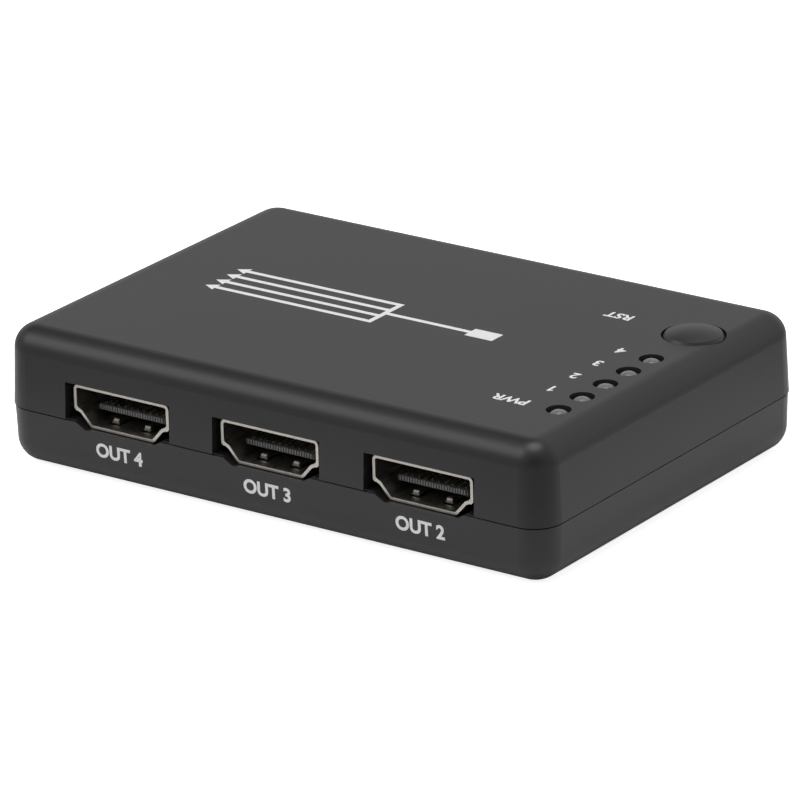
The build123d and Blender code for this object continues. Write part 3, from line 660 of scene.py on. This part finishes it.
def printed_word(name, text, cap_height, place, turned, weight):
    """A word in ink, set by its middle, as a thin raised film. A 1 at its end gets a flag."""
    bpy.ops.object.select_all(action="DESELECT")
    bpy.ops.object.text_add()
    word = bpy.context.object
    word.name = name
    word.data.body = text
    word.data.size = cap_height / letter_cap_share
    word.data.align_x = "CENTER"
    word.data.align_y = "CENTER"
    word.data.extrude = ink_thickness / 2
    word.data.offset = weight
    word.data.resolution_u = letter_curve_steps
    bpy.ops.object.convert(target="MESH")
    if text.endswith("1"):
        right = max(corner.co.x for corner in word.data.vertices)
        top = max(corner.co.y for corner in word.data.vertices)
        flag_x = right - cap_height * flag_back
        flag_y = top - cap_height * flag_down
        bpy.ops.object.select_all(action="DESELECT")
        bpy.ops.mesh.primitive_cube_add(
            size=1, location=(flag_x, flag_y, 0), rotation=(0, 0, flag_slope)
        )
        flag = bpy.context.object
        flag.scale = (
            cap_height * flag_length,
            cap_height * flag_width,
            ink_thickness * flag_thickness,
        )
        word.select_set(True)
        bpy.context.view_layer.objects.active = word
        bpy.ops.object.join()
    word.rotation_euler = turned
    word.location = place
    bpy.ops.object.transform_apply(location=True, rotation=True, scale=True)
    word.data.materials.clear()
    word.data.materials.append(ink)
    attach(word, "case")


facing_back = (0, 0, math.pi)
led_x = (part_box("led_1")[0][0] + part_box("led_1")[1][0]) / 2
numeral_height = 1.75 * mm
numeral_gap = 4.8 * mm
numeral_shift = 0.45 * mm
numeral_weight = 0.07 * mm
led_count = 4
for number in range(1, led_count + 1):
    low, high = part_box(f"led_{number}")
    led_y = (low[1] + high[1]) / 2
    printed_word(
        f"numeral_{number}",
        str(number),
        numeral_height,
        (led_x - numeral_gap, led_y + numeral_shift, lid_top),
        facing_back,
        numeral_weight,
    )
power_word_place = (28.5 * mm, -16.6 * mm, lid_top)
reset_word_place = (23.6 * mm, 15.1 * mm, lid_top)
for name, text, place in (
    ("power_word", "PWR", power_word_place),
    ("reset_word", "RST", reset_word_place),
):
    printed_word(name, text, numeral_height, place, facing_back, numeral_weight)

label_height = 1.85 * mm
label_weight = 0.09 * mm
label_z = 4.55 * mm
tray_draft = math.radians(2)
tray_half_width = 29.23 * mm
parting_height = 7.9 * mm
label_y = tray_half_width - (parting_height - label_z) * math.tan(tray_draft)
on_the_front = (math.pi / 2 + tray_draft, 0, 0)
on_the_back = (math.pi / 2 + tray_draft, 0, math.pi)
for name, text, piece, side_y, turned in (
    ("output_4_label", "OUT 4", "output_4_shell", -label_y, on_the_front),
    ("output_3_label", "OUT 3", "output_3_shell", -label_y, on_the_front),
    ("output_2_label", "OUT 2", "output_2_shell", -label_y, on_the_front),
    ("output_1_label", "OUT 1", "output_1_shell", label_y, on_the_back),
    ("input_label", "IN", "input_shell", label_y, on_the_back),
    ("dc_jack_label", "5V", "dc_jack_housing", label_y, on_the_back),
):
    low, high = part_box(piece)
    place = ((low[0] + high[0]) / 2, side_y, label_z)
    printed_word(name, text, label_height, place, turned, label_weight)


# The mark on the lid: a plain diagram of what the box does, one line in and four out,
# printed in the same ink across the middle.
diagram_line = 0.75 * mm
diagram_middle_x = -7.2 * mm
diagram_y = 0.3 * mm
diagram_length = 40 * mm
diagram_row_gap = 2.3 * mm
diagram_rows = 4
trunk_share = 0.12
plug_length = 4.2 * mm
plug_width = 2.6 * mm
arrow_radius = 1.15 * mm
arrow_corners = 3
arrow_end = diagram_middle_x - diagram_length / 2
plug_end = diagram_middle_x + diagram_length / 2
trunk_x = diagram_middle_x + diagram_length * trunk_share
middle_row = (diagram_rows - 1) / 2
row_ys = [diagram_y + (row - middle_row) * diagram_row_gap for row in range(diagram_rows)]
strokes = [
    ((trunk_x + plug_end) / 2, diagram_y, plug_end - trunk_x + diagram_line, diagram_line),
    (trunk_x, diagram_y, diagram_line, row_ys[-1] - row_ys[0] + diagram_line),
    (plug_end, diagram_y, plug_length, plug_width),
]
for row_y in row_ys:
    strokes.append(((arrow_end + trunk_x) / 2, row_y, trunk_x - arrow_end, diagram_line))
shapes = []
for stroke_x, stroke_y, stroke_length, stroke_width in strokes:
    bpy.ops.object.select_all(action="DESELECT")
    bpy.ops.mesh.primitive_cube_add(size=1, location=(stroke_x, stroke_y, lid_top))
    shapes.append(bpy.context.object)
    shapes[-1].scale = (stroke_length, stroke_width, ink_thickness)
    bpy.ops.object.transform_apply(location=True, rotation=True, scale=True)
for row_y in row_ys:
    bpy.ops.object.select_all(action="DESELECT")
    bpy.ops.mesh.primitive_cylinder_add(
        vertices=arrow_corners,
        radius=arrow_radius,
        depth=ink_thickness,
        location=(arrow_end, row_y, lid_top),
        rotation=(0, 0, math.pi / 2),
    )
    shapes.append(bpy.context.object)
    bpy.ops.object.transform_apply(location=True, rotation=True, scale=True)
diagram = shapes[0]
diagram.name = "splitter_diagram"
for shape in shapes[1:]:
    bpy.ops.object.select_all(action="DESELECT")
    bpy.context.view_layer.objects.active = diagram
    diagram.select_set(True)
    bpy.ops.object.modifier_add(type="BOOLEAN")
    diagram.modifiers[-1].operation = "UNION"
    diagram.modifiers[-1].object = shape
    bpy.ops.object.modifier_apply(modifier=diagram.modifiers[-1].name)
    bpy.data.objects.remove(shape)
diagram.data.materials.clear()
diagram.data.materials.append(ink)
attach(diagram, "case")


# The reset cap: a domed disc moulded in a dark plastic a little lighter than the case's,
# which sits in the lid's hole on the switch's plunger.
cap_plastic = moulded_plastic(
    "cap plastic", colour=(0.024, 0.0228, 0.0248), roughness=0.38, grain=9000, depth=0.02 * mm
)
finish_nodes(cap_plastic, "reset_button")
